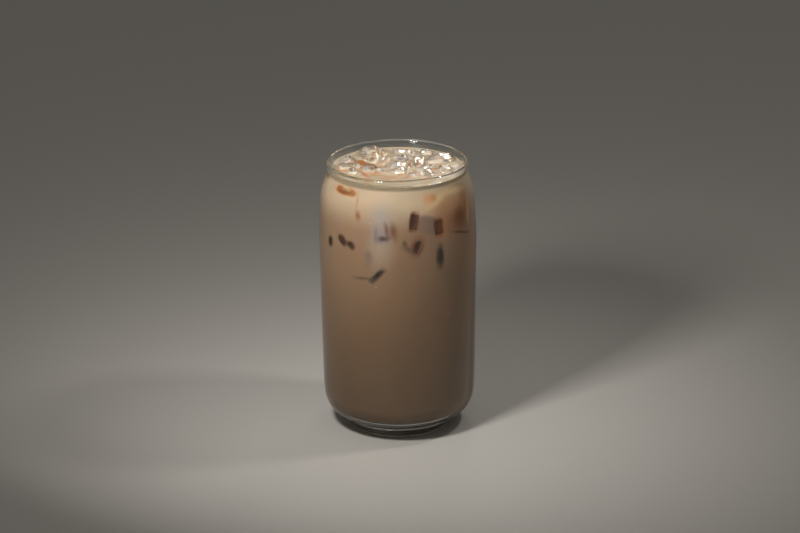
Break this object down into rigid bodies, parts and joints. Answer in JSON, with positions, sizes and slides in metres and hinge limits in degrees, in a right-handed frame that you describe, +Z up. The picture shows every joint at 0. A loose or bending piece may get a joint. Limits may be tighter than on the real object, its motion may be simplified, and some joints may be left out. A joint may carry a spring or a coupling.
{
  "type": "iced white mocha in its glass",
  "caption": "Iced white mocha in a can-shaped drinking glass: milky coffee up to just under the lip, with melting ice cubes floating in it and a clear thick glass base below.",
  "frame": {"origin": "on the table, under the middle of the glass's foot", "axes": "+Z up along the glass, -Y towards the viewer of the picture, +X to the viewer's right"},
  "size_m": [0.076, 0.076, 0.133],
  "materials": {
    "clear_glass": "clear, polished",
    "milky_coffee": "opaque milky liquid, wet",
    "ice": "clear melting ice with white cracks and bubbles"
  },
  "bodies": {
    "root": {"glass": "clear_glass", "drink": "milky_coffee", "ice_back_left": "ice", "ice_left_back": "ice", "ice_left": "ice", "ice_left_front": "ice", "ice_front_left": "ice", "ice_front_chip": "ice", "ice_middle_back": "ice", "ice_middle": "ice", "ice_middle_right": "ice", "ice_back": "ice", "ice_back_chip": "ice", "ice_back_right": "ice", "ice_right": "ice", "ice_right_middle": "ice", "ice_front_right": "ice", "ice_right_front": "ice", "ice_front_chip_right": "ice"}
  },
  "joints": []
}
